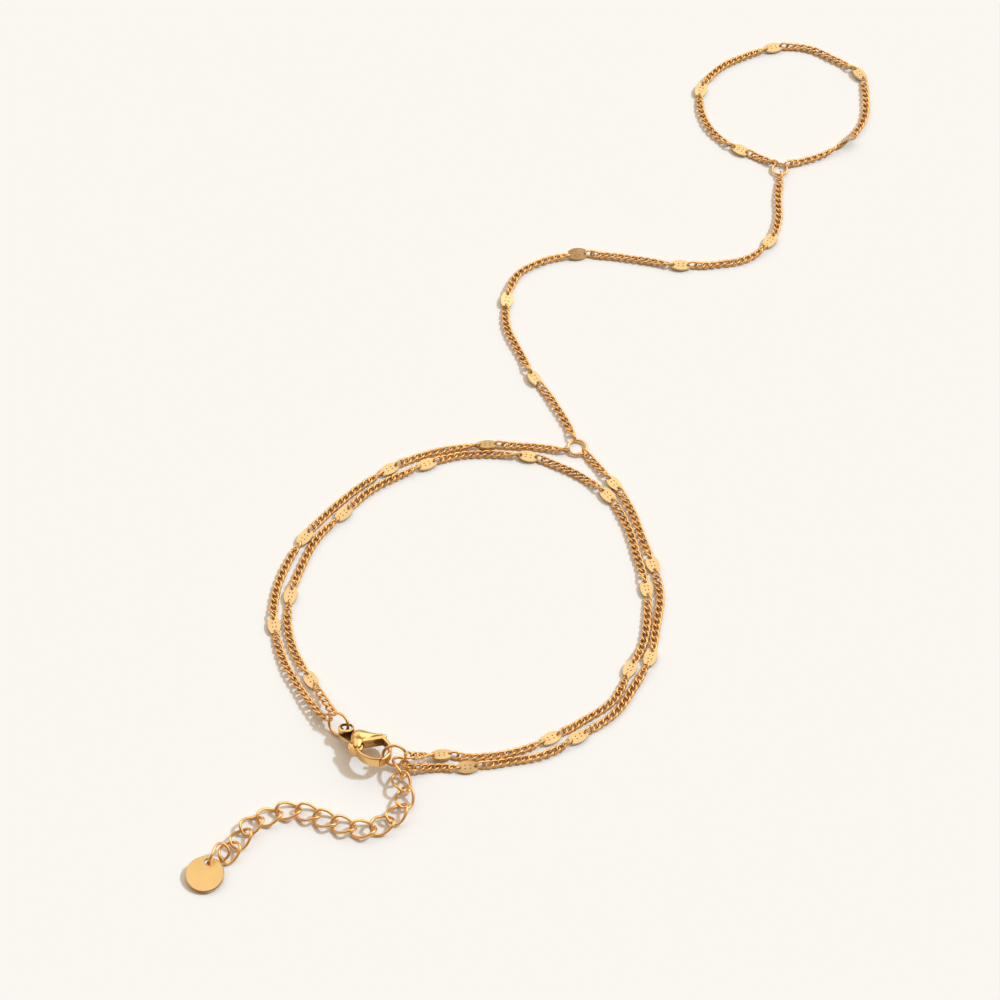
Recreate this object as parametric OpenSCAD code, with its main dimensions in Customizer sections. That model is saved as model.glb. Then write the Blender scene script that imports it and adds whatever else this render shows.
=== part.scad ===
// Hand chain bracelet lying flat: a finger loop, a connector and a double wrist loop
// of fine curb chain with pressed plates, a sprung clasp, an extender and a round tag.
// Millimetres. X right, Y away, Z up, the supporting surface at Z = 0.

/* [Fine chain] */
// Width of the fine curb chain
chain_w = 1.24; // [0.9:0.02:1.4]
// Thickness of the fine curb chain
chain_t = 0.8; // [0.5:0.02:1.1]
// Gap between a length of chain and the plate it hangs on
chain_gap = 0.3; // [0.1:0.05:0.3]

/* [Plates] */
// Length of a pressed plate
plate_l = 2.9; // [2:0.1:4]
// Width of a pressed plate across its middle
plate_w = 1.95; // [1.4:0.05:2.6]
// Width of a pressed plate at its ends
plate_end_w = 1.1; // [0.7:0.05:1.6]
// Thickness of the sheet
plate_t = 0.35; // [0.2:0.05:0.6]
// Hole at each end of a plate
plate_hole_d = 0.42; // [0.3:0.02:0.6]
// Distance from the middle of a plate to its end holes
plate_hole_x = 1.12; // [0.8:0.02:1.5]
// Small through dots beside the middle
plate_dot_d = 0.2; // [0.1:0.02:0.3]

/* [Rings] */
// Outer diameter of the ring that joins the finger loop and the connector
finger_ring_d = 2.85; // [2.4:0.05:4]
// Wire of that ring
finger_ring_wire = 0.4; // [0.3:0.02:0.6]
// Outer diameter of the ring that joins the connector and the wrist strands
wrist_ring_d = 3.25; // [2.6:0.05:4]
// Wire of that ring
wrist_ring_wire = 0.42; // [0.3:0.02:0.6]
// Outer diameter of the two rings beside the clasp
end_ring_d = 3.75; // [3.2:0.05:4.4]
// Wire of the two rings beside the clasp
end_ring_wire = 0.44; // [0.3:0.02:0.6]

/* [Extender and tag] */
// Length of an extender link between the middles of its end wires
link_l = 3.6; // [2.8:0.1:4]
// Width of an extender link between the middles of its side wires
link_w = 2.6; // [2:0.1:3]
// Rise and fall of a link's twist about its middle plane
link_twist = 0.5; // [0.2:0.02:0.6]
// Wire of an extender link
link_wire = 0.44; // [0.3:0.02:0.6]
// Diameter of the round tag
tag_d = 5.5; // [4:0.1:8]
// Thickness of the round tag
tag_t = 0.6; // [0.4:0.05:1.2]
// Hole in the tag
tag_hole_d = 1.1; // [0.9:0.05:1.5]
// Distance from the middle of the tag to its hole
tag_hole_x = 1.85; // [1.5:0.05:2.1]
// Angle by which the last link holds the hole side up
tag_tilt = 9; // [0:1:15]

/* [Clasp] */
// Length of the eye
eye_l = 2.35; // [2.2:0.05:3]
// Width of the eye
eye_w = 1.8; // [1.5:0.05:2.6]
// Length of the hole in the eye
eye_hole_l = 1.68; // [1.2:0.02:2]
// Width of the hole in the eye
eye_hole_w = 1.12; // [0.9:0.02:1.6]
// Height of the upper rim of the eye
eye_h = 0.6; // [0.4:0.02:0.9]
// Thickness of the shoulder under the eye
shoulder_t = 0.5; // [0.4:0.05:0.8]
// Largest diameter of the rounded back
back_d = 2.5; // [1.8:0.05:3]
// Largest diameter of the rounded neck over the hinge
neck_d = 2.1; // [1.8:0.05:2.6]
// Width of the straight bar from the back to the arm
bar_w = 0.72; // [0.5:0.02:1]
// Width of the curved arm seen from above
arm_w = 0.52; // [0.4:0.02:0.9]
// Height of the curved arm
arm_h = 1.6; // [1:0.05:2]
// Width of the gate seen from above
gate_w = 0.42; // [0.3:0.02:0.6]
// Height of the gate
gate_h = 1.7; // [1:0.05:2]
// Height of the upper step of the thumb tab
tab_step = 0.3; // [0.1:0.05:0.5]
// Height of the slot between the cheeks
slot_h = 0.8; // [0.6:0.05:1.2]
// Clearance above and below the lever in its slot
slot_gap = 0.1; // [0.1:0.02:0.2]
// Diameter of the pin
pin_d = 0.56; // [0.4:0.02:0.8]
// Clearance around the pin
pin_gap = 0.1; // [0.1:0.02:0.15]
// Clearance between the end of the gate and the end of the arm
nose_gap = 0.12; // [0.1:0.01:0.2]
// Angle by which the near side of the clasp is held up
clasp_tilt = 10; // [0:1:15]

/* [View] */
// Name of the piece to draw, or all

/* [Hidden] */
$fn = 48;
gold = [0.83, 0.62, 0.3];
tube_sides = 8;
wire_sides = 6;
link_stations = 16;
small = 0.02;
turn = 360;

// Routes along the surface: x, y, lift off the surface, roll, 1 where a plate sits.
// A positive roll raises the edge on the left of the direction of travel.
finger_route = [
    [36.25, 56.25, 0, 0, 0], [31, 59, 0, 0, 1], [27, 62.5, 0, 5, 0], [25, 67.25, 0, 12, 0],
    [25, 72.5, 0, 5, 1], [28, 77.25, 0, 0, 0], [32.5, 80.25, 0, 0, 0], [37.5, 82.25, 0, 0, 1],
    [42.75, 82.25, 0, 0, 0], [47.25, 79.75, 0, 0, 0], [51.5, 76.25, 0, -10, 1],
    [52.25, 71, 0, -5, 0], [51.5, 65.5, 0, 15, 0], [48.5, 61, 0, 45, 1],
    [44, 57.75, 0, 12, 0], [38.75, 55.75, 0, 0, 0]
];
connector_route = [
    [37.25, 53, 0, 0, 0], [36.75, 48.75, 0, -8, 0], [36.5, 43.75, 0, -5, 0],
    [35, 39.25, 0, 0, 1], [31.25, 35.5, 0, 0, 0], [26, 34.25, 0, 0, 0], [20.5, 34, 0, 0, 1],
    [15, 35, 0, 0, 0], [9.5, 36, 0, 0, 0], [4, 36.25, 0, -25, 1], [-1.25, 35, 0, 0, 0],
    [-5.5, 32, 0, 0, 0], [-7.25, 26.75, 0, -10, 1], [-7.25, 21.25, 0, -8, 0],
    [-5.25, 16, 0, -5, 0], [-3, 10.75, 0, -10, 1], [-0.5, 6.75, 0, -8, 0],
    [1.5, 2.75, 0, -5, 0], [3, -1, 0, 0, 0]
];
left_route = [
    [1.5, -3.5, 0, 0, 0], [-4, -2.75, 0, 0, 0], [-10.25, -2.5, 0, 15, 1],
    [-15.75, -3.25, 0, 0, 0], [-20.75, -4.75, 0, 0, 0], [-25.25, -7.25, 0, 0, 1],
    [-29.75, -10.75, 0, 0, 0], [-34.25, -15.5, 0, 0, 0], [-37.75, -20.25, 0, 0, 1],
    [-40.25, -25.25, 0, 0, 0], [-41.75, -30.75, 0, 0, 0], [-41.75, -36.5, 0, 0, 1],
    [-40.25, -42.5, 0, -10, 0], [-37.5, -48, 0.2, -25, 0], [-34.25, -53, 0.6, -30, 0]
];
inner_route = [
    [-33, -52.25, 1.5, 0, 0], [-36, -46.25, 0, 0, 1], [-38.5, -41.5, 0, 0, 0],
    [-39.75, -36.25, 0, 0, 0], [-39.5, -31, 0, 0, 1], [-38, -25.5, 0, 0, 0],
    [-35.75, -20.25, 0, 0, 0], [-32, -15.75, 0, 0, 1], [-28.5, -11.75, 0, 0, 0],
    [-24.25, -8.75, 0, 0, 0], [-19.5, -6.25, 0, 0, 1], [-14.5, -4.5, 0, 0, 0],
    [-9.25, -4.25, 0, 0, 0], [-4, -4.75, 0, 0, 1], [0.5, -6.5, 0, 8, 0],
    [4.5, -9, 0, 10, 0], [8, -12.25, 0, 0, 1], [10.75, -17.75, 0, 0, 0],
    [12.25, -23.75, 0, 0, 0], [13.5, -29.75, 0, 0, 1], [13.5, -34.5, 0, 0, 0],
    [12.75, -39.75, 0, 0, 0], [10.75, -44.25, 0, 0, 1], [8.25, -49.75, 0, 0, 0],
    [4, -53.25, 0, 0, 0], [-1, -56.5, 0, 0, 1], [-6, -58.75, 0, 0, 0],
    [-11.25, -59.75, 0, 0, 0], [-16.75, -59.5, 0.2, 10, 1], [-21, -60.75, 1.8, 0, 0]
];
right_route = [
    [4.75, -4.25, 0, 0, 0], [9, -10, 0, -10, 1], [11.5, -15, 0, -5, 0],
    [13, -20, 0, 0, 0], [14.5, -25.25, 0, 0, 1], [15.5, -31, 0, 0, 0],
    [14.75, -36.75, 0, 0, 0], [13.75, -42.25, 0, 0, 1], [11.25, -47.5, 0, 0, 0],
    [8.25, -52.25, 0, 0, 0], [3, -56.25, 0, 0, 1], [-1.75, -59.25, 0, 0, 0],
    [-7.25, -60.5, 0, 0, 0], [-13, -61.5, 0, -15, 1], [-17.5, -61.5, 0, 0, 0],
    [-21.25, -62, 0.6, 0, 0]
];

// Extender links: x, y, heading, roll
extender = [
    [-22.6, -62.25, -86, -53], [-22.45, -64.4, -75, -14], [-22, -66.9, -94, 6],
    [-23, -69.55, -125, 6], [-25.1, -71.5, -148, -10], [-27.75, -72.2, 179, -4],
    [-30.55, -71.55, 163, 1], [-33.15, -70.55, 158, 0], [-35.65, -69.45, 164, 0],
    [-38.45, -69.05, -174, 0], [-41.15, -70, -157, 0], [-43.6, -71.4, -141, 3],
    [-45.05, -73.65, -124, 2], [-46.6, -76.05, -123, -12], [-48.15, -76.9, -135, -68]
];

// Rings: x, y, z of the middle, bearing and rise of the axis
finger_ring_at = [37.25, 54.75, 0.4, 0, 90];
wrist_ring_at = [3.5, -3, 0.4, 0, 90];
left_ring_at = [-31.7, -54.9, 1.65, -128, 32];
right_ring_at = [-23.5, -60.7, 2.25, -91, 25];
tag_at = [-49.85, -79.7];
tag_bearing = 79;
tag_edge = 0.12;

// The clasp is laid out in its own middle plane, from a point in the eye
clasp_at = [-30.35, -55.9, 1.6];
eye_at = [-0.2, -0.1];
eye_hole_at = [-0.17, 0.1];
eye_rise = 0.4;
eye_inset = 0.3;
shoulder_rise = -0.38;
shoulder = [
    [-1.33, 0.3], [-1.36, -0.4], [-1.18, -0.9], [-0.85, -1.4], [-0.35, -1.8], [0.3, -2.2],
    [1.1, -2.2], [1.2, -0.5], [0.7, 0.5], [-0.85, 0.7]
];
back_at = [0.45, -1.85, 0.1];
back_turn = 9;
back_profile = [
    [0, 0], [0.06, 0.36], [0.25, 0.66], [0.6, 0.88], [1.05, 1], [1.5, 0.99], [2, 0.85],
    [2.7, 0.62], [3.4, 0.4], [4.1, 0.26], [4.7, 0.2], [4.9, 0]
];
neck_at = [1.5, -1.6];
neck_profile = [
    [0, 1], [0.5, 1], [0.9, 0.93], [1.3, 0.82], [1.7, 0.74], [2.05, 0.62], [2.35, 0.42],
    [2.5, 0.2]
];
knob_at = [5.38, -1.65, 0.35];
knob_d = 0.8;
arm_at = [3.9, -4.2, -0.1];
arm_r = 2.36;
arm_from = -75;
arm_tip = -58;
arm_middle = 0;
arm_to = 35;
arm_top = [5.15, -1.9];
bar_from = [2.2, -2.6];
pivot_at = [1.4, -3.5];
hub_r = 0.92;
hub_gap = 0.15;
tab_at = [1.6, -3];
tab_r = 1.48;
tab_inset = 0.18;
tab_top = 0.45;
tab_gap = 0.12;
tab_side = [[1.4, -3.5], [-0.6, -2.4], [-0.6, -6.4], [1.8, -6.4]];
gate_at = [4.6, -3, -0.1];
gate_r = 3.3;
gate_from = -160;
gate_to = -76;
nose_at = [arm_at.x, arm_at.y] + arm_r * [cos(arm_tip), sin(arm_tip)];
nose_r = norm(nose_at - pivot_at);
edge = 0.13;

function row(route, i) = route[max(0, min(len(route) - 1, i))];

// A smooth blend through the rows b and c at share t
function blend(a, b, c, d, t) =
    0.5 * (2 * b + (c - a) * t + (2 * a - 5 * b + 4 * c - d) * t * t
    + (3 * b - a - 3 * c + d) * t * t * t);

function along(route, u) =
    let (i = max(0, min(floor(u), len(route) - 2)))
    blend(row(route, i - 1), row(route, i), row(route, i + 1), row(route, i + 2), u - i);

function ahead(route, u) =
    let (d = along(route, u + small) - along(route, u - small))
    [d.x, d.y] / (2 * small);

function heading(route, u) =
    let (d = ahead(route, u))
    atan2(d.y, d.x);

// The offsets of one section of the tube, across and up
function section(roll) = [
    for (k = [0 : tube_sides - 1])
    let (
        a = turn * (k + 0.5) / tube_sides,
        s = 0.5 / cos(turn / tube_sides / 2),
        p = [chain_w * s * cos(a), chain_t * s * sin(a)]
    )
    [p.x * cos(roll) - p.y * sin(roll), p.x * sin(roll) + p.y * cos(roll)]
];

function section_at(route, u) =
    let (
        p = along(route, u),
        h = heading(route, u),
        s = section(p[3]),
        z = max(0, p[2]) - min([for (q = s) q.y])
    )
    [for (q = s) [p.x - q.x * sin(h), p.y + q.x * cos(h), z + q.y]];

module tube(rings) {
    count = len(rings);
    points = [for (r = rings) each r];
    sides = [
        for (i = [0 : count - 2], k = [0 : tube_sides - 1])
        let (
            m = (k + 1) % tube_sides,
            a = i * tube_sides + k,
            b = i * tube_sides + m,
            c = a + tube_sides,
            d = b + tube_sides
        )
        each [[a, d, b], [a, c, d]]
    ];
    start = [for (k = [0 : tube_sides - 1]) k];
    finish = [for (k = [tube_sides - 1 : -1 : 0]) (count - 1) * tube_sides + k];
    polyhedron(points, concat(sides, [start, finish]));
}

// Positions of the plates in a route
function plates(route) = [for (i = [0 : len(route) - 1]) if (route[i][4] == 1) i];

// The lengths of chain between the plates, each a closed tube
module chain(route) {
    marks = plates(route);
    from = concat([0], marks);
    to = concat(marks, [len(route) - 1]);
    back = plate_l / 2 + chain_gap;
    for (j = [0 : len(from) - 1]) {
        first = from[j] + (j == 0 ? 0 : back / norm(ahead(route, from[j])));
        last = to[j] - (j == len(from) - 1 ? 0 : back / norm(ahead(route, to[j])));
        steps = max(1, ceil(last - first));
        tube([for (i = [0 : steps]) section_at(route, first + (last - first) * i / steps)]);
    }
}

module plate_shape() {
    bow = (plate_w - plate_end_w) / 2;
    bow_r = (plate_l * plate_l / 4 + bow * bow) / (2 * bow);
    difference() {
        intersection() {
            square([plate_l, plate_w], center = true);
            translate([0, plate_w / 2 - bow_r]) circle(bow_r);
            translate([0, bow_r - plate_w / 2]) circle(bow_r);
        }
        for (s = [-1, 1]) {
            translate([s * plate_hole_x, 0]) circle(d = plate_hole_d, $fn = 16);
            translate([s * plate_hole_x / 3, plate_w / 8]) circle(d = plate_dot_d, $fn = 12);
            translate([s * plate_hole_x / 3, -plate_w / 8]) circle(d = plate_dot_d, $fn = 12);
        }
    }
}

// The plate that sits at one row of a route, at the middle height of the chain
module plate(route, i) {
    r = route[i];
    mid = max(chain_t / 2, plate_w / 2 * abs(sin(r[3])) + plate_t / 2 * cos(r[3]));
    translate([r.x, r.y, mid + r[2]])
    rotate([r[3], 0, heading(route, i)])
    linear_extrude(plate_t, center = true)
    plate_shape();
}

module ring(at, d, wire) {
    translate([at.x, at.y, at.z])
    rotate([0, 90 - at[4], at[3]])
    rotate_extrude()
    translate([(d - wire) / 2, 0])
    circle(d = wire, $fn = 24);
}

function link_point(t) = [
    link_l / 2 * cos(t), link_w / 2 * sin(t), -link_twist * sin(2 * t)
];

// One station of the wire of a link, square to its run
function link_section(t, roll) =
    let (
        d = link_point(t + 1) - link_point(t - 1),
        f = d / norm(d),
        side = cross([0, 0, 1], f),
        n = side / norm(side),
        up = cross(f, n),
        r = link_wire / 2
    )
    [
        for (k = [0 : wire_sides - 1])
        let (
            a = turn * k / wire_sides,
            p = link_point(t) + n * r * cos(a) + up * r * sin(a)
        )
        [p.x, p.y * cos(roll) - p.z * sin(roll), p.y * sin(roll) + p.z * cos(roll)]
    ];

module extender_link(i) {
    e = extender[i];
    rings = [
        for (k = [0 : link_stations - 1]) link_section(turn * k / link_stations, e[3])
    ];
    points = [for (r = rings) each r];
    total = len(points);
    low = min([for (p = points) p.z]);
    faces = [
        for (k = [0 : link_stations - 1], m = [0 : wire_sides - 1])
        let (
            a = k * wire_sides + m,
            b = k * wire_sides + (m + 1) % wire_sides,
            c = (a + wire_sides) % total,
            d = (b + wire_sides) % total
        )
        each [[a, d, b], [a, c, d]]
    ];
    translate([e.x, e.y, -low])
    rotate(e[2])
    polyhedron(points, faces);
}

module tag() {
    r = tag_d / 2;
    h = tag_t / 2;
    color(gold)
    translate([tag_at.x, tag_at.y, h * cos(tag_tilt) + r * sin(tag_tilt)])
    rotate([0, -tag_tilt, tag_bearing])
    difference() {
        rotate_extrude()
        polygon([
            [0, -h], [r - tag_edge, -h], [r, tag_edge - h],
            [r, h - tag_edge], [r - tag_edge, h], [0, h]
        ]);
        translate([tag_hole_x, 0]) cylinder(h = 2 * tag_t, d = tag_hole_d, center = true);
    }
}

// A bar bent round a circle, with its long edges cut back
module bent_bar(at, r, w, h, from, to) {
    x = w / 2;
    z = h / 2;
    e = edge;
    translate(at)
    rotate(from)
    rotate_extrude(angle = to - from)
    polygon([
        [r - x + e, -z], [r + x - e, -z], [r + x, e - z], [r + x, z - e],
        [r + x - e, z], [r - x + e, z], [r - x, z - e], [r - x, e - z]
    ]);
}

module nose_cut(gap) {
    translate([pivot_at.x, pivot_at.y, 0])
    cylinder(h = 2 * gate_h, r = nose_r + gap, center = true, $fn = 96);
}

// A flat ring with straight sides and round ends, or the same shape solid
module oblong(l, w) {
    x = (l - w) / 2;
    square([2 * x, w], center = true);
    for (s = [-1, 1]) translate([s * x, 0]) circle(d = w);
}

// A straight bar between two points, as high as the arm
module straight_bar(from, to, w) {
    run = to - from;
    translate([from.x, from.y, arm_at.z])
    rotate([0, 0, atan2(run.y, run.x)])
    rotate([0, 90, 0])
    linear_extrude(norm(run))
    square([arm_h, w], center = true);
}

// The rounded neck that reaches from the back over the hinge, grown by a clearance
module neck(gap) {
    finish = neck_profile[len(neck_profile) - 1].x + gap;
    translate([neck_at.x, neck_at.y, 0])
    rotate([90, 0, 0])
    rotate_extrude()
    polygon(concat(
        [[0, 0]], [for (p = neck_profile) [p.y * neck_d / 2 + gap, p.x + gap]], [[0, finish]]
    ));
}

module clasp_body() {
    arm_end = [arm_at.x + arm_r * cos(arm_to), arm_at.y + arm_r * sin(arm_to)];
    color(gold)
    translate(clasp_at)
    rotate([-clasp_tilt, 0, 0]) {
        difference() {
            union() {
                translate([eye_at.x, eye_at.y, eye_rise])
                linear_extrude(eye_h, center = true)
                oblong(eye_l, eye_w);
                translate([eye_at.x, eye_at.y, 0])
                linear_extrude(2 * eye_rise, center = true)
                oblong(eye_l - eye_inset, eye_w - eye_inset);
                translate([0, 0, shoulder_rise])
                linear_extrude(shoulder_t, center = true)
                polygon(shoulder);
                translate(back_at)
                rotate([0, 90, back_turn])
                rotate_extrude()
                polygon([for (p = back_profile) [p.y * back_d / 2, p.x]]);
                neck(0);
                translate(knob_at) sphere(d = knob_d);
                straight_bar(bar_from, arm_top, bar_w);
                straight_bar(arm_end, arm_top, arm_w);
            }
            translate([eye_hole_at.x, eye_hole_at.y, 0])
            linear_extrude(2 * back_d, center = true)
            oblong(eye_hole_l, eye_hole_w);
            translate([pivot_at.x, pivot_at.y, 0])
            cylinder(h = slot_h, r = hub_r + hub_gap, center = true);
        }
        translate([pivot_at.x, pivot_at.y, 0])
        cylinder(h = slot_h + slot_gap, d = pin_d, center = true);
        bent_bar(arm_at, arm_r, arm_w, arm_h, arm_middle, arm_to);
        difference() {
            bent_bar(arm_at, arm_r, arm_w, arm_h, arm_from, arm_middle);
            nose_cut(0);
        }
    }
}

// One step of the thumb tab, up to a height and down to the foot of the gate
module tab_layer(r, top) {
    translate([0, 0, gate_at.z - gate_h / 2])
    linear_extrude(gate_h / 2 - gate_at.z + top)
    intersection() {
        translate(tab_at) circle(r);
        polygon(tab_side);
    }
}

module clasp_lever() {
    color(gold)
    translate(clasp_at)
    rotate([-clasp_tilt, 0, 0])
    difference() {
        union() {
            translate([pivot_at.x, pivot_at.y, 0])
            cylinder(h = slot_h - 2 * slot_gap, r = hub_r, center = true);
            difference() {
                union() {
                    tab_layer(tab_r, tab_top - tab_step);
                    tab_layer(tab_r - tab_inset, tab_top);
                    intersection() {
                        bent_bar(gate_at, gate_r, gate_w, gate_h, gate_from, gate_to);
                        nose_cut(-nose_gap);
                    }
                }
                neck(tab_gap);
            }
        }
        translate([pivot_at.x, pivot_at.y, 0])
        cylinder(h = gate_h, d = pin_d + 2 * pin_gap, center = true);
    }
}

groups = [
    ["finger", finger_route], ["connector", connector_route], ["left", left_route],
    ["inner", inner_route], ["right", right_route]
];

for (g = groups) {
    color(gold) chain(g[1]);
    for (i = [1 : len(plates(g[1]))])
        color(gold) plate(g[1], plates(g[1])[i - 1]);
}
for (i = [1 : len(extender)])
    color(gold) extender_link(i - 1);
color(gold) ring(finger_ring_at, finger_ring_d, finger_ring_wire);  // finger_ring
color(gold) ring(wrist_ring_at, wrist_ring_d, wrist_ring_wire);  // wrist_ring
color(gold) ring(left_ring_at, end_ring_d, end_ring_wire);  // left_ring
color(gold) ring(right_ring_at, end_ring_d, end_ring_wire);  // right_ring
tag();
clasp_body();
clasp_lever();
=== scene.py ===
"""A hand chain bracelet of fine gold-coloured curb chain, lying flat on a pale surface.

Metres, in the frame of the CAD part: X right, Y away, Z up, the surface at Z = 0.
The routes below are those of the part, in millimetres, and MM turns them into metres.
"""

import math

import bpy
from mathutils import Matrix, Vector
from mathutils.bvhtree import BVHTree


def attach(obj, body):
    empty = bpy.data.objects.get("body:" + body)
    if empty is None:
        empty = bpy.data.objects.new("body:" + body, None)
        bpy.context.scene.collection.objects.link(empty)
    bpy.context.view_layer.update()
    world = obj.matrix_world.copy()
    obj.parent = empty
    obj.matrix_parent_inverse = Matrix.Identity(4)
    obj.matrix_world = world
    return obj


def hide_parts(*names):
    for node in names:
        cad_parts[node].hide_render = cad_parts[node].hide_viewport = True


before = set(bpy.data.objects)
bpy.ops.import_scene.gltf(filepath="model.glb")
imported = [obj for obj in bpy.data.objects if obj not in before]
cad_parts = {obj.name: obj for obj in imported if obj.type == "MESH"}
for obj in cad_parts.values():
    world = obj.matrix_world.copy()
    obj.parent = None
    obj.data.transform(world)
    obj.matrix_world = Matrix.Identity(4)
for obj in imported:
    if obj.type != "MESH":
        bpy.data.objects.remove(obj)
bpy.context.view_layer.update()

MM = 0.001
BODY = "bracelet"
LEVER = "lever"

# The photograph's camera: where it stands, how steeply it looks down, and its lens
CAMERA_AT = (-8.35, -350.5, 441.65)
CAMERA_DOWN = 52.6
CAMERA_LENS = 131.76
SENSOR = 36.0
NEAREST_SEEN = 10

# Light: a sharp key for all but the metal, a broad glow for the metal, and a room's levels by
# height and depth of the direction, warmer where they are lower
KEY_TOWARDS = (0.95, 0.35, 1.0)
KEY_STRENGTH = 2.0
KEY_COLOUR = (0.85, 1.05, 1.20)
KEY_WIDTH = 5.0
GLOW_STRENGTH = 1.05
GLOW_COLOUR = (1.0, 0.99, 0.97)
GLOW_WIDTH = 60.0
SKY_COLOUR = (1.75, 1.69, 1.51)
SKY_WARMTH = (1.0, 1.3, 1.6)
SKY_BY_HEIGHT = [(0, 0.06), (0.15, 0.12), (0.42, 0.7), (0.72, 1.0), (0.9, 0.8), (1, 0.6)]
SKY_BY_DEPTH = [(-1, 0.12), (-0.3, 0.3), (0.25, 0.95), (1, 1.0)]
FLOOR_COLOUR = (0.8, 0.8, 0.8)
FLOOR_ROUGHNESS = 0.9
FLOOR_HALF = 1200

# Finish: shares of the roughness where the polish is best and worst, and the marks' depth
POLISH_BEST = 0.8
POLISH_WORST = 1.35
MARK_DEPTH = 0.02

# Recesses, darkened with painted shade and made duller: the hidden shares where they begin
# and end, how much duller they are, the painted shades, the rays that look for them, how far
# off the metal a ray starts and how far it reaches, and the turn from one ray to the next
RECESS_FROM = 0.28
RECESS_TO = 0.75
RECESS_DULL = 0.25
PAINTED_RECESS_SHADE = (0.42, 0.33, 0.23)
# A deeper painted shade for the clasp's casting, darkest on the inner wall of its opening
CLASP_PAINTED_SHADE = (0.2, 0.15, 0.08)
RECESS_RAYS = 24
RECESS_START = 0.02
CHAIN_REACH = 0.5
EXTENDER_REACH = 0.6
GOLDEN_TURN = math.pi * (3 - math.sqrt(5))

# Castings: solid, piece, body, grain, rounds of smoothing, and the reach and gain of the
# recesses' painted shade, then how near two points of a solid are when they are one, and how strong each
# round is
CASTINGS = [
    ("clasp_body", "clasp_casting", BODY, 0.045, 60, 5, 3.5),
    ("clasp_lever", "lever_casting", LEVER, 0.035, 12, 3, 1.5),
]
WELD = 0.0005
SMOOTHING = 0.5

# Fine curb chain: sizes of one link along its wire's middle line, those of the whole chain, how
# far a plate's hole is from its middle, the chain's roll beside a plate and along the way in
# degrees, each link's own sway in radians, and how finely the route is followed
PITCH = 1.10
LINK_HALF_L = 0.78
LINK_HALF_W = 0.5
LINK_TWIST = -0.18
LINK_WIRE = 0.37
CHAIN_W = 1.32
CHAIN_T = 0.72
PLATE_HOLE_X = 1.12
END_ROLL = -45.0
END_REACH = 1.1
WOBBLE = 9.0
WOBBLE_WAVES = [(0.55, 1.1), (1.3, -0.4)]
SWAY = 0.08
ROUTE_STEP = 0.2

# Routes along the surface: x, y, lift off the surface, roll, 1 where a plate sits
finger_route = [
    [36.25, 56.25, 0, 0, 0], [31, 59, 0, 0, 1], [27, 62.5, 0, 5, 0], [25, 67.25, 0, 12, 0],
    [25, 72.5, 0, 5, 1], [28, 77.25, 0, 0, 0], [32.5, 80.25, 0, 0, 0], [37.5, 82.25, 0, 0, 1],
    [42.75, 82.25, 0, 0, 0], [47.25, 79.75, 0, 0, 0], [51.5, 76.25, 0, -10, 1],
    [52.25, 71, 0, -5, 0], [51.5, 65.5, 0, 15, 0], [48.5, 61, 0, 45, 1],
    [44, 57.75, 0, 12, 0], [38.75, 55.75, 0, 0, 0],
]
connector_route = [
    [37.25, 53, 0, 0, 0], [36.75, 48.75, 0, -8, 0], [36.5, 43.75, 0, -5, 0],
    [35, 39.25, 0, 0, 1], [31.25, 35.5, 0, 0, 0], [26, 34.25, 0, 0, 0], [20.5, 34, 0, 0, 1],
    [15, 35, 0, 0, 0], [9.5, 36, 0, 0, 0], [4, 36.25, 0, -25, 1], [-1.25, 35, 0, 0, 0],
    [-5.5, 32, 0, 0, 0], [-7.25, 26.75, 0, -10, 1], [-7.25, 21.25, 0, -8, 0],
    [-5.25, 16, 0, -5, 0], [-3, 10.75, 0, -10, 1], [-0.5, 6.75, 0, -8, 0],
    [1.5, 2.75, 0, -5, 0], [3, -1, 0, 0, 0],
]
left_route = [
    [1.5, -3.5, 0, 0, 0], [-4, -2.75, 0, 0, 0], [-10.25, -2.5, 0, 15, 1],
    [-15.75, -3.25, 0, 0, 0], [-20.75, -4.75, 0, 0, 0], [-25.25, -7.25, 0, 0, 1],
    [-29.75, -10.75, 0, 0, 0], [-34.25, -15.5, 0, 0, 0], [-37.75, -20.25, 0, 0, 1],
    [-40.25, -25.25, 0, 0, 0], [-41.75, -30.75, 0, 0, 0], [-41.75, -36.5, 0, 0, 1],
    [-40.25, -42.5, 0, -10, 0], [-37.5, -48, 0.2, -25, 0], [-34.25, -53, 0.6, -30, 0],
]
inner_route = [
    [-33, -52.25, 1.5, 0, 0], [-36, -46.25, 0, 0, 1], [-38.5, -41.5, 0, 0, 0],
    [-39.75, -36.25, 0, 0, 0], [-39.5, -31, 0, 0, 1], [-38, -25.5, 0, 0, 0],
    [-35.75, -20.25, 0, 0, 0], [-32, -15.75, 0, 0, 1], [-28.5, -11.75, 0, 0, 0],
    [-24.25, -8.75, 0, 0, 0], [-19.5, -6.25, 0, 0, 1], [-14.5, -4.5, 0, 0, 0],
    [-9.25, -4.25, 0, 0, 0], [-4, -4.75, 0, 0, 1], [0.5, -6.5, 0, 8, 0],
    [4.5, -9, 0, 10, 0], [8, -12.25, 0, 0, 1], [10.75, -17.75, 0, 0, 0],
    [12.25, -23.75, 0, 0, 0], [13.5, -29.75, 0, 0, 1], [13.5, -34.5, 0, 0, 0],
    [12.75, -39.75, 0, 0, 0], [10.75, -44.25, 0, 0, 1], [8.25, -49.75, 0, 0, 0],
    [4, -53.25, 0, 0, 0], [-1, -56.5, 0, 0, 1], [-6, -58.75, 0, 0, 0],
    [-11.25, -59.75, 0, 0, 0], [-16.75, -59.5, 0.2, 10, 1], [-21, -60.75, 1.8, 0, 0],
]
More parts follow.
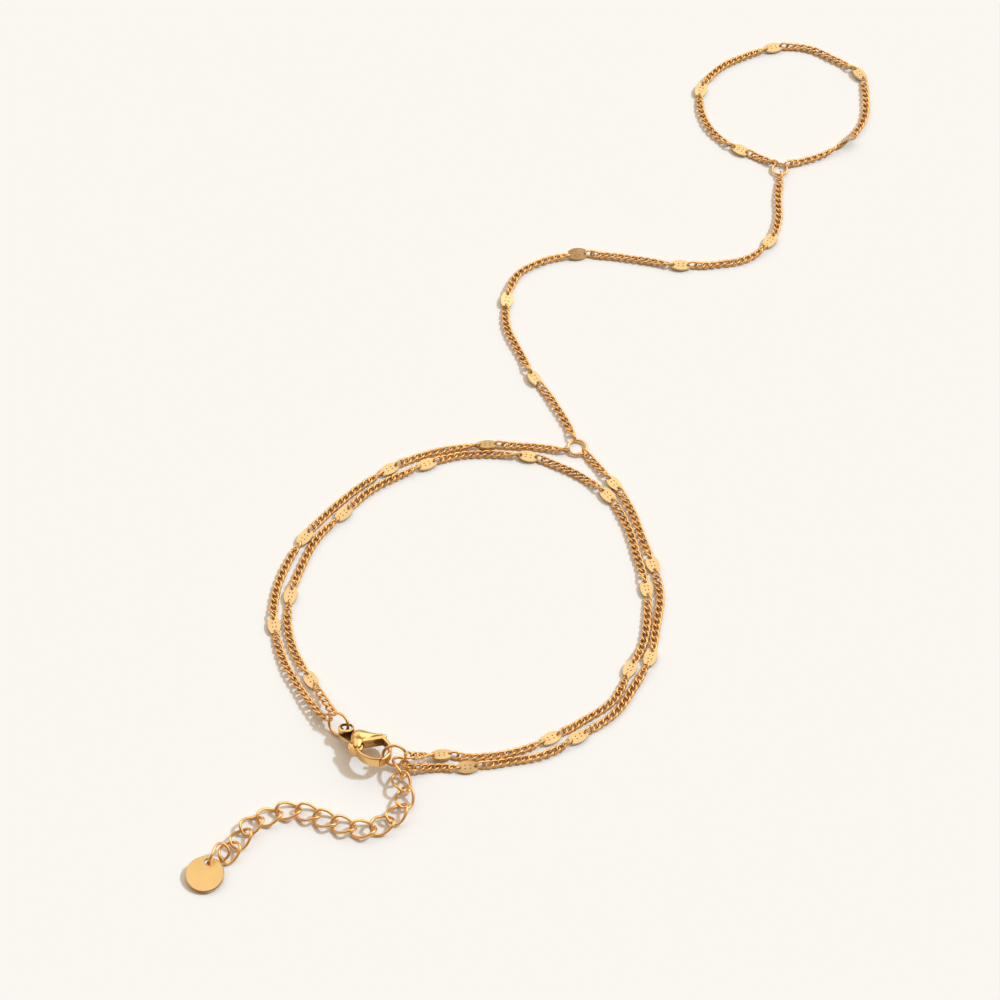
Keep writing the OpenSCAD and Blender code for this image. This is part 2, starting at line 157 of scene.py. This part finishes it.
right_route = [
    [4.75, -4.25, 0, 0, 0], [9, -10, 0, -10, 1], [11.5, -15, 0, -5, 0],
    [13, -20, 0, 0, 0], [14.5, -25.25, 0, 0, 1], [15.5, -31, 0, 0, 0],
    [14.75, -36.75, 0, 0, 0], [13.75, -42.25, 0, 0, 1], [11.25, -47.5, 0, 0, 0],
    [8.25, -52.25, 0, 0, 0], [3, -56.25, 0, 0, 1], [-1.75, -59.25, 0, 0, 0],
    [-7.25, -60.5, 0, 0, 0], [-13, -61.5, 0, -15, 1], [-17.5, -61.5, 0, 0, 0],
    [-21.25, -62, 0.6, 0, 0],
]
ROUTES = {
    "finger": finger_route,
    "connector": connector_route,
    "left": left_route,
    "inner": inner_route,
    "right": right_route,
}
# The links that pass round a ring: the middle of the first and the last, where they lie
# off the route's end, and the rolls there
RING_ENDS = {
    "finger": ([], [], 60, -60),
    "connector": ([], [], 60, -60),
    "left": ([], [-33.35, -53.6, 1.35], 60, 0),
    "inner": ([-32.6, -53.2, 2.3], [-21.3, -60.7, 2.3], 0, 0),
    "right": ([], [-21.85, -61.5, 1.2], 60, 0),
}

# Extender links: x, y, heading and roll, then the sizes of one link along its wire's middle
# line, and the points round it that find how high it lies
extender = [
    [-22.6, -62.25, -86, -53], [-22.45, -64.4, -75, -14], [-22, -66.9, -94, 6],
    [-23, -69.55, -125, 6], [-25.1, -71.5, -148, -10], [-27.75, -72.2, 179, -4],
    [-30.55, -71.55, 163, 1], [-33.15, -70.55, 158, 0], [-35.65, -69.45, 164, 0],
    [-38.45, -69.05, -174, 0], [-41.15, -70, -157, 0], [-43.6, -71.4, -141, 3],
    [-45.05, -73.65, -124, 2], [-46.6, -76.05, -123, -12], [-48.15, -76.9, -135, -68],
]
EXTENDER_HALF_L = 1.8
EXTENDER_HALF_W = 1.3
EXTENDER_TWIST = -0.5
EXTENDER_WIRE = 0.44
EXTENDER_ROUND = 72


def tree_node(tree, kind, **settings):
    """A new node with its settings, and its inputs by name where a key ends in _in."""
    node = tree.nodes.new(kind)
    for key, value in settings.items():
        if key.endswith("_in"):
            node.inputs[key[:-3]].default_value = value
        else:
            setattr(node, key, value)
    return node


def link_up(tree, *pairs):
    """Joins sockets: each pair is (node, output, node, input), by name or number."""
    for a, out, b, into in pairs:
        tree.links.new(a.outputs[out], b.inputs[into])


# Finishes
def gold(name, colour, roughness, mottle, grain, scratch, scratch_scale, painted_shade=PAINTED_RECESS_SHADE):
    """Polished gold-coloured plating: fine colour change, uneven polish, hairline marks, and painted
    shade with duller roughness where the metal hides itself.
    """
    mat = bpy.data.materials.new(name)
    mat.use_nodes = True
    t = mat.node_tree
    shader = t.nodes["Principled BSDF"]
    shader.inputs["Metallic"].default_value = 1.0
    place = tree_node(t, "ShaderNodeTexCoord")
    cloud = tree_node(t, "ShaderNodeTexNoise", Scale_in=grain, Detail_in=3.0)
    tint = tree_node(t, "ShaderNodeValToRGB")
    tint.color_ramp.elements[0].position = 0.3
    tint.color_ramp.elements[1].position = 0.7
    tint.color_ramp.elements[0].color = (*[c * (1 - mottle) for c in colour], 1)
    tint.color_ramp.elements[1].color = (*[min(1, c * (1 + mottle / 3)) for c in colour], 1)
    worst, best = roughness * POLISH_WORST, roughness * POLISH_BEST
    polish = tree_node(t, "ShaderNodeMapRange", **{"To Min_in": best, "To Max_in": worst})
    marks = tree_node(t, "ShaderNodeTexNoise", Scale_in=scratch_scale, Detail_in=2.0)
    bump = tree_node(t, "ShaderNodeBump", Strength_in=scratch, Distance_in=MARK_DEPTH * MM)
    # The recess share paints shade into the base colour where the metal hides a point, and raises the
    # roughness there
    recess = tree_node(t, "ShaderNodeAttribute", attribute_name="recess")
    deep = tree_node(t, "ShaderNodeMapRange", **{"From Min_in": RECESS_FROM, "From Max_in": RECESS_TO})
    painted_shade_mix = tree_node(t, "ShaderNodeMix", data_type="RGBA")
    painted_shade_mix.inputs["B"].default_value = (*[c * d for c, d in zip(colour, painted_shade)], 1)
    worn = tree_node(t, "ShaderNodeMath", operation="MULTIPLY_ADD")
    worn.inputs[1].default_value = RECESS_DULL
    link_up(
        t,
        (recess, "Fac", deep, "Value"),
        (deep, "Result", painted_shade_mix, "Factor"),
        (tint, "Color", painted_shade_mix, "A"),
        (painted_shade_mix, "Result", shader, "Base Color"),
        (deep, "Result", worn, 0),
        (polish, "Result", worn, 2),
        (worn, 0, shader, "Roughness"),
        (place, "Object", cloud, "Vector"),
        (place, "Object", marks, "Vector"),
        (cloud, "Fac", tint, "Fac"),
        (cloud, "Fac", polish, "Value"),
        (marks, "Fac", bump, "Height"),
        (bump, "Normal", shader, "Normal"),
    )
    return mat


GOLD = (0.91, 0.56, 0.23)
chain_gold = gold("gold_chain", GOLD, 0.36, 0.18, 900, 0.10, 4000)
plate_gold = gold("gold_plate", (0.73, 0.53, 0.28), 0.36, 0.14, 700, 0.35, 3000)
ring_gold = gold("gold_ring", GOLD, 0.28, 0.12, 500, 0.06, 3000)
cast_gold = gold(
    "gold_casting", (0.84, 0.54, 0.22), 0.26, 0.14, 350, 0.10, 2500, painted_shade=CLASP_PAINTED_SHADE
)
tag_gold = gold("gold_tag", (0.86, 0.62, 0.29), 0.28, 0.08, 300, 0.12, 3500)


# Geometry Nodes shared by the two kinds of chain
def group_inputs(tree, sizes):
    """Declares a tree's geometry in and out, its number inputs and its material."""
    face = tree.interface
    face.new_socket("Geometry", in_out="INPUT", socket_type="NodeSocketGeometry")
    for name, value in sizes.items():
        kind = "NodeSocketInt" if isinstance(value, int) else "NodeSocketFloat"
        face.new_socket(name, in_out="INPUT", socket_type=kind).default_value = value
    face.new_socket("Material", in_out="INPUT", socket_type="NodeSocketMaterial")
    face.new_socket("Geometry", in_out="OUTPUT", socket_type="NodeSocketGeometry")
    return tree.nodes.new("NodeGroupInput"), tree.nodes.new("NodeGroupOutput")


def twisted_link(tree, inputs):
    """Nodes that make one curb link along X: a ring of wire, stretched and twisted."""
    ring = tree_node(tree, "GeometryNodeCurvePrimitiveCircle", Radius_in=1.0)
    place = tree_node(tree, "GeometryNodeInputPosition")
    parts = tree_node(tree, "ShaderNodeSeparateXYZ")
    x = tree_node(tree, "ShaderNodeMath", operation="MULTIPLY")
    y = tree_node(tree, "ShaderNodeMath", operation="MULTIPLY")
    xy = tree_node(tree, "ShaderNodeMath", operation="MULTIPLY")
    twice = tree_node(tree, "ShaderNodeMath", operation="MULTIPLY")
    twice.inputs[1].default_value = 2.0
    z = tree_node(tree, "ShaderNodeMath", operation="MULTIPLY")
    joined = tree_node(tree, "ShaderNodeCombineXYZ")
    moved = tree_node(tree, "GeometryNodeSetPosition")
    radius = tree_node(tree, "ShaderNodeMath", operation="MULTIPLY")
    radius.inputs[1].default_value = 0.5
    profile = tree_node(tree, "GeometryNodeCurvePrimitiveCircle")
    wire = tree_node(tree, "GeometryNodeCurveToMesh")
    link_up(
        tree,
        (inputs, "Stations", ring, "Resolution"),
        (place, "Position", parts, "Vector"),
        (parts, "X", x, 0),
        (inputs, "Half Length", x, 1),
        (parts, "Y", y, 0),
        (inputs, "Half Width", y, 1),
        (parts, "X", xy, 0),
        (parts, "Y", xy, 1),
        (xy, 0, twice, 0),
        (twice, 0, z, 0),
        (inputs, "Twist", z, 1),
        (x, 0, joined, "X"),
        (y, 0, joined, "Y"),
        (z, 0, joined, "Z"),
        (ring, "Curve", moved, "Geometry"),
        (joined, "Vector", moved, "Position"),
        (inputs, "Wire", radius, 0),
        (inputs, "Sides", profile, "Resolution"),
        (radius, 0, profile, "Radius"),
        (moved, "Geometry", wire, "Curve"),
        (profile, "Curve", wire, "Profile Curve"),
    )
    return wire


def finish_links(tree, inputs, outputs, points, turn, link):
    """Nodes that put the link on every point, then make it one real, smooth, gold mesh."""
    sway = tree_node(tree, "FunctionNodeRandomValue", data_type="FLOAT_VECTOR")
    low = tree_node(tree, "ShaderNodeMath", operation="MULTIPLY")
    low.inputs[1].default_value = -1.0
    sway_turn = tree_node(tree, "FunctionNodeEulerToRotation")
    turned = tree_node(tree, "FunctionNodeRotateRotation", rotation_space="LOCAL")
    placed = tree_node(tree, "GeometryNodeInstanceOnPoints")
    real = tree_node(tree, "GeometryNodeRealizeInstances")
    smooth = tree_node(tree, "GeometryNodeSetShadeSmooth")
    coated = tree_node(tree, "GeometryNodeSetMaterial")
    link_up(
        tree,
        (inputs, "Sway", low, 0),
        (low, 0, sway, "Min"),
        (inputs, "Sway", sway, "Max"),
        (inputs, "Seed", sway, "Seed"),
        (sway, "Value", sway_turn, "Euler"),
        (turn[0], turn[1], turned, "Rotation"),
        (sway_turn, "Rotation", turned, "Rotate By"),
        (points[0], points[1], placed, "Points"),
        (link, "Mesh", placed, "Instance"),
        (turned, "Rotation", placed, "Rotation"),
        (placed, "Instances", real, "Geometry"),
        (real, "Geometry", smooth, "Geometry"),
        (smooth, "Geometry", coated, "Geometry"),
        (inputs, "Material", coated, "Material"),
        (coated, "Geometry", outputs, "Geometry"),
    )


def chain_along_curve():
    """Curb links at an even pitch along each spline, turned by the spline's tilt."""
    tree = bpy.data.node_groups.new("curb_chain_along_curve", "GeometryNodeTree")
    sizes = {
        "Pitch": PITCH * MM, "Half Length": LINK_HALF_L * MM, "Half Width": LINK_HALF_W * MM,
        "Twist": LINK_TWIST * MM, "Wire": LINK_WIRE * MM, "Sway": SWAY,
        "Stations": 14, "Sides": 6, "Seed": 3,
    }
    inputs, outputs = group_inputs(tree, sizes)
    length = tree_node(tree, "GeometryNodeSplineLength")
    steps = tree_node(tree, "ShaderNodeMath", operation="DIVIDE")
    whole = tree_node(tree, "ShaderNodeMath", operation="ROUND")
    count = tree_node(tree, "ShaderNodeMath", operation="ADD")
    count.inputs[1].default_value = 1.0
    even = tree_node(tree, "GeometryNodeResampleCurve", mode="COUNT")
    points = tree_node(tree, "GeometryNodeCurveToPoints", mode="EVALUATED")
    left = tree_node(tree, "ShaderNodeVectorMath", operation="SCALE", Scale_in=-1.0)
    turn = tree_node(tree, "FunctionNodeAxesToRotation", primary_axis="X", secondary_axis="Y")
    link_up(
        tree,
        (length, "Length", steps, 0),
        (inputs, "Pitch", steps, 1),
        (steps, 0, whole, 0),
        (whole, 0, count, 0),
        (inputs, "Geometry", even, "Curve"),
        (count, 0, even, "Count"),
        (even, "Curve", points, "Curve"),
        (points, "Normal", left, 0),
        (points, "Tangent", turn, "Primary Axis"),
        (left, 0, turn, "Secondary Axis"),
    )
    link = twisted_link(tree, inputs)
    finish_links(tree, inputs, outputs, (points, "Points"), (turn, "Rotation"), link)
    return tree, sizes


def chain_on_points():
    """Larger links on single points, each turned by the point's own angles."""
    tree = bpy.data.node_groups.new("links_on_points", "GeometryNodeTree")
    sizes = {
        "Half Length": EXTENDER_HALF_L * MM, "Half Width": EXTENDER_HALF_W * MM,
        "Twist": EXTENDER_TWIST * MM, "Wire": EXTENDER_WIRE * MM, "Sway": 0.0,
        "Stations": 40, "Sides": 12, "Seed": 1,
    }
    inputs, outputs = group_inputs(tree, sizes)
    points = tree_node(tree, "GeometryNodeMeshToPoints")
    angles = tree_node(tree, "GeometryNodeInputNamedAttribute", data_type="FLOAT_VECTOR", Name_in="turn")
    turn = tree_node(tree, "FunctionNodeEulerToRotation")
    link_up(
        tree,
        (inputs, "Geometry", points, "Mesh"),
        (angles, "Attribute", turn, "Euler"),
    )
    link = twisted_link(tree, inputs)
    finish_links(tree, inputs, outputs, (points, "Points"), (turn, "Rotation"), link)
    return tree, sizes


def grown(source, tree, sizes, material, name):
    """The plain mesh that a tree makes from source, which is then removed."""
    modifier = source.modifiers.new("grow", "NODES")
    modifier.node_group = tree
    for item in tree.interface.items_tree:
        if item.in_out == "INPUT" and item.name in sizes:
            modifier[item.identifier] = sizes[item.name]
        elif item.in_out == "INPUT" and item.name == "Material":
            modifier[item.identifier] = material
    bpy.context.view_layer.update()
    evaluated = source.evaluated_get(bpy.context.evaluated_depsgraph_get())
    mesh = bpy.data.meshes.new_from_object(evaluated)
    mesh.name = name
    source.modifiers.remove(modifier)
    bpy.data.objects.remove(source)
    if not mesh.materials:
        mesh.materials.append(material)
    piece = bpy.data.objects.new(name, mesh)
    bpy.context.scene.collection.objects.link(piece)
    return piece


# Routes
def route_row(route, i):
    """Row i of a route, or its first or last row past the ends."""
    return route[max(0, min(len(route) - 1, i))]


def along(route, u):
    """x, y, lift and roll at place u of a route, on the same smooth curve as the part's."""
    i = max(0, min(math.floor(u), len(route) - 2))
    t = u - i
    rows = [route_row(route, i + k) for k in (-1, 0, 1, 2)]
    out = []
    for a, b, c, d in list(zip(*rows))[:4]:
        bend = (2 * a - 5 * b + 4 * c - d) * t * t + (3 * b - a - 3 * c + d) * t ** 3
        out.append(0.5 * (2 * b + (c - a) * t + bend))
    return out


def measured(route, fine=60):
    """The route as places u with their distance along it."""
    count = (len(route) - 1) * fine
    places = [i / fine for i in range(count + 1)]
    spots = [along(route, u) for u in places]
    run = [0.0]
    for a, b in zip(spots, spots[1:]):
        run.append(run[-1] + math.dist(a[:2], b[:2]))
    return places, run


def place_at(places, run, s):
    """The place u at distance s along a route."""
    for i in range(1, len(run)):
        if run[i] >= s:
            share = (s - run[i - 1]) / (run[i] - run[i - 1])
            return places[i - 1] + share * (places[i] - places[i - 1])
    return places[-1]


def middle_height(lift, roll):
    """Height of the middle of the chain, when its lowest edge is at the lift."""
    a = math.radians(roll)
    return max(0, lift) + math.hypot(CHAIN_W / 2 * math.sin(a), CHAIN_T / 2 * math.cos(a))


def near(distance):
    """How much of the roll at a plate or ring is left at a distance from it."""
    return math.exp(-((distance / END_REACH) ** 2))


def chain_splines(route, ring_ends):
    """Stretches between plates, from the first link's middle to the last one's."""
    first_link, last_link, first_roll, last_roll = ring_ends
    places, run = measured(route)
    marks = [i for i, r in enumerate(route) if r[4] == 1]
    at = {i: run[places.index(float(i))] for i in marks}
    hang = PLATE_HOLE_X + LINK_HALF_L
    stops = [0.0] + [at[i] for i in marks] + [run[-1]]
    splines = []
    for k, (a, b) in enumerate(zip(stops, stops[1:])):
        first, last = k == 0, k == len(stops) - 2
        start, end = a + (0 if first else hang), b - (0 if last else hang)
        start_roll = first_roll if first else -END_ROLL
        end_roll = last_roll if last else END_ROLL
        count = max(2, round((end - start) / ROUTE_STEP))
        rows = []
        for i in range(count + 1):
            s = start + (end - start) * i / count
            x, y, lift, roll = along(route, place_at(places, run, s))
            waves = [math.sin(p * x + q * y) for p, q in WOBBLE_WAVES]
            roll += WOBBLE * sum(waves) / len(waves)
            roll += start_roll * near(s - start) + end_roll * near(end - s)
            rows.append((x, y, middle_height(lift, roll), roll))
        if first and first_link:
            rows.insert(0, (*first_link, first_roll))
        if last and last_link:
            rows.append((*last_link, last_roll))
        splines.append(rows)
    return splines


def chain_piece(name, route, ring_ends):
    """The whole chain of one route as one mesh of real links."""
    data = bpy.data.curves.new(name + "_path", "CURVE")
    data.dimensions = "3D"
    data.twist_mode = "Z_UP"
    for rows in chain_splines(route, ring_ends):
        spline = data.splines.new("POLY")
        spline.points.add(len(rows) - 1)
        for point, (x, y, z, roll) in zip(spline.points, rows):
            point.co = (x * MM, y * MM, z * MM, 1)
            point.tilt = math.radians(roll)
    source = bpy.data.objects.new(name + "_path", data)
    bpy.context.scene.collection.objects.link(source)
    tree, sizes = chain_along_curve()
    return grown(source, tree, sizes, chain_gold, name + "_curb_links")


def extender_piece():
    """The extender's links, each lying on the surface as it leans."""
    mesh = bpy.data.meshes.new("extender_places")
    places, turns = [], []
    for x, y, heading, roll in extender:
        a = math.radians(roll)
        low = 0.0
        for k in range(EXTENDER_ROUND):
            t = 2 * math.pi * k / EXTENDER_ROUND
            side, up = EXTENDER_HALF_W * math.sin(t), EXTENDER_TWIST * math.sin(2 * t)
            low = min(low, side * math.sin(a) + up * math.cos(a))
        places.append((x * MM, y * MM, (EXTENDER_WIRE / 2 - low) * MM))
        turns += [a, 0.0, math.radians(heading)]
    mesh.from_pydata(places, [], [])
    mesh.attributes.new("turn", "FLOAT_VECTOR", "POINT").data.foreach_set("vector", turns)
    source = bpy.data.objects.new("extender_places", mesh)
    bpy.context.scene.collection.objects.link(source)
    tree, sizes = chain_on_points()
    return grown(source, tree, sizes, ring_gold, "extender_links")


# Castings, which run the clasp's solids together as metal that was cast and tumbled
def cast_copy(node, name, grain, rounds):
    """A smooth copy of a CAD solid, with its inner corners filled as in a casting."""
    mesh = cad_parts[node].data.copy()
    piece = bpy.data.objects.new(name, mesh)
    bpy.context.scene.collection.objects.link(piece)
    mesh.transform(Matrix.Scale(1 / MM, 4))
    weld = piece.modifiers.new("weld", "WELD")
    weld.merge_threshold = WELD
    remesh = piece.modifiers.new("remesh", "REMESH")
    remesh.mode = "VOXEL"
    remesh.voxel_size = grain
    smooth = piece.modifiers.new("smooth", "SMOOTH")
    smooth.factor = SMOOTHING
    smooth.iterations = rounds
    evaluated = piece.evaluated_get(bpy.context.evaluated_depsgraph_get())
    made = bpy.data.meshes.new_from_object(evaluated)
    made.name = name
    piece.modifiers.clear()
    piece.data = made
    made.transform(Matrix.Scale(MM, 4))
    made.materials.clear()
    made.materials.append(cast_gold)
    made.polygons.foreach_set("use_smooth", [True] * len(made.polygons))
    return piece


def mark_recesses(piece, reach, gain=1.0):
    """Keeps on each point the share of directions in which the metal hides it, times gain."""
    mesh = piece.data
    tree = BVHTree.FromPolygons([v.co for v in mesh.vertices], [p.vertices for p in mesh.polygons])
    rays = []
    for i in range(RECESS_RAYS):
        share = (i + 0.5) / RECESS_RAYS
        out, up = math.sqrt(1 - share), math.sqrt(share)
        rays.append(Vector((out * math.cos(i * GOLDEN_TURN), out * math.sin(i * GOLDEN_TURN), up)))
    hidden = []
    for v in mesh.vertices:
        face = Vector((0, 0, 1)).rotation_difference(v.normal)
        start = v.co + v.normal * RECESS_START * MM
        hits = sum(tree.ray_cast(start, face @ ray, reach * MM)[0] is not None for ray in rays)
        hidden.append(gain * hits / RECESS_RAYS)
    mesh.attributes.new("recess", "FLOAT", "POINT").data.foreach_set("value", hidden)
    return piece


def settle(piece, body, *nodes):
    """Says which body a piece moves with, and the solids it stands for."""
    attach(piece, body)
    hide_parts(*nodes)


def coat(node, material):
    """Gives a CAD node its finish."""
    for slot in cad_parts[node].material_slots:
        slot.material = material


# Each piece keeps its share of hidden directions, which its finish turns into painted shade
for group, route in ROUTES.items():
    chain = chain_piece(group, route, RING_ENDS[group])
    settle(mark_recesses(chain, CHAIN_REACH), BODY, group + "_chain")
links = ["extender_link_%d" % (i + 1) for i in range(len(extender))]
settle(mark_recesses(extender_piece(), EXTENDER_REACH), BODY, *links)
for node, name, body, grain, rounds, reach, gain in CASTINGS:
    settle(mark_recesses(cast_copy(node, name, grain, rounds), reach, gain), body, node)

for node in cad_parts:
    if "_plate_" in node:
        coat(node, plate_gold)
    elif node.endswith("_ring"):
        coat(node, ring_gold)
    elif node == "tag":
        coat(node, tag_gold)


# Floor, light and camera
def floor():
    """The pale surface that the bracelet lies on."""
    mesh = bpy.data.meshes.new("floor")
    r = FLOOR_HALF * MM
    mesh.from_pydata([(-r, -r, 0), (r, -r, 0), (r, r, 0), (-r, r, 0)], [], [(0, 1, 2, 3)])
    obj = bpy.data.objects.new("floor", mesh)
    bpy.context.scene.collection.objects.link(obj)
    mat = bpy.data.materials.new("pale_surface")
    mat.use_nodes = True
    shader = mat.node_tree.nodes["Principled BSDF"]
    shader.inputs["Base Color"].default_value = (*FLOOR_COLOUR, 1)
    shader.inputs["Roughness"].default_value = FLOOR_ROUGHNESS
    shader.inputs["Specular IOR Level"].default_value = 0.0
    mesh.materials.append(mat)


def ramp_over(t, source, out, stops):
    """A ramp over one coordinate of the direction, from -1 to 1, warmer where it is darker."""
    share = tree_node(t, "ShaderNodeMapRange", **{"From Min_in": -1.0, "From Max_in": 1.0})
    ramp = tree_node(t, "ShaderNodeValToRGB")
    while len(ramp.color_ramp.elements) < len(stops):
        ramp.color_ramp.elements.new(0.5)
    for element, (at, level) in zip(ramp.color_ramp.elements, stops):
        element.position = (at + 1) / 2
        element.color = (*[level ** warmth for warmth in SKY_WARMTH], 1)
    link_up(t, (source, out, share, "Value"), (share, "Result", ramp, "Fac"))
    return ramp


def sky():
    """A room that is bright above the far side and dark at the horizon and behind the camera."""
    world = bpy.data.worlds.new("studio")
    bpy.context.scene.world = world
    world.use_nodes = True
    t = world.node_tree
    back = t.nodes["Background"]
    place = tree_node(t, "ShaderNodeTexCoord")
    parts = tree_node(t, "ShaderNodeSeparateXYZ")
    link_up(t, (place, "Generated", parts, "Vector"))
    high = ramp_over(t, parts, "Z", SKY_BY_HEIGHT)
    far = ramp_over(t, parts, "Y", SKY_BY_DEPTH)
    both = tree_node(t, "ShaderNodeVectorMath", operation="MULTIPLY")
    tint = tree_node(t, "ShaderNodeVectorMath", operation="MULTIPLY")
    tint.inputs[1].default_value = SKY_COLOUR
    link_up(
        t,
        (high, "Color", both, 0),
        (far, "Color", both, 1),
        (both, "Vector", tint, 0),
        (tint, "Vector", back, "Color"),
    )


def sun(name, towards, strength, colour, width, on_metal):
    """A distant light in the direction towards, for the metal alone or for all but the metal."""
    data = bpy.data.lights.new(name, "SUN")
    data.energy = strength
    data.color = colour
    data.angle = math.radians(width)
    lamp = bpy.data.objects.new(name, data)
    lamp.visible_glossy = on_metal
    lamp.visible_diffuse = not on_metal
    lamp.rotation_euler = Vector(towards).to_track_quat("Z", "Y").to_euler()
    bpy.context.scene.collection.objects.link(lamp)


def camera():
    """The photograph's camera, level from side to side."""
    data = bpy.data.cameras.new("camera")
    data.lens = CAMERA_LENS
    data.sensor_width = SENSOR
    data.clip_start = NEAREST_SEEN * MM
    obj = bpy.data.objects.new("camera", data)
    obj.location = Vector(CAMERA_AT) * MM
    obj.rotation_euler = (math.radians(90 - CAMERA_DOWN), 0, 0)
    bpy.context.scene.collection.objects.link(obj)
    bpy.context.scene.camera = obj


floor()
sky()
sun("key", KEY_TOWARDS, KEY_STRENGTH, KEY_COLOUR, KEY_WIDTH, False)
sun("glow", KEY_TOWARDS, GLOW_STRENGTH, GLOW_COLOUR, GLOW_WIDTH, True)
camera()
bpy.context.scene.view_settings.view_transform = "Standard"
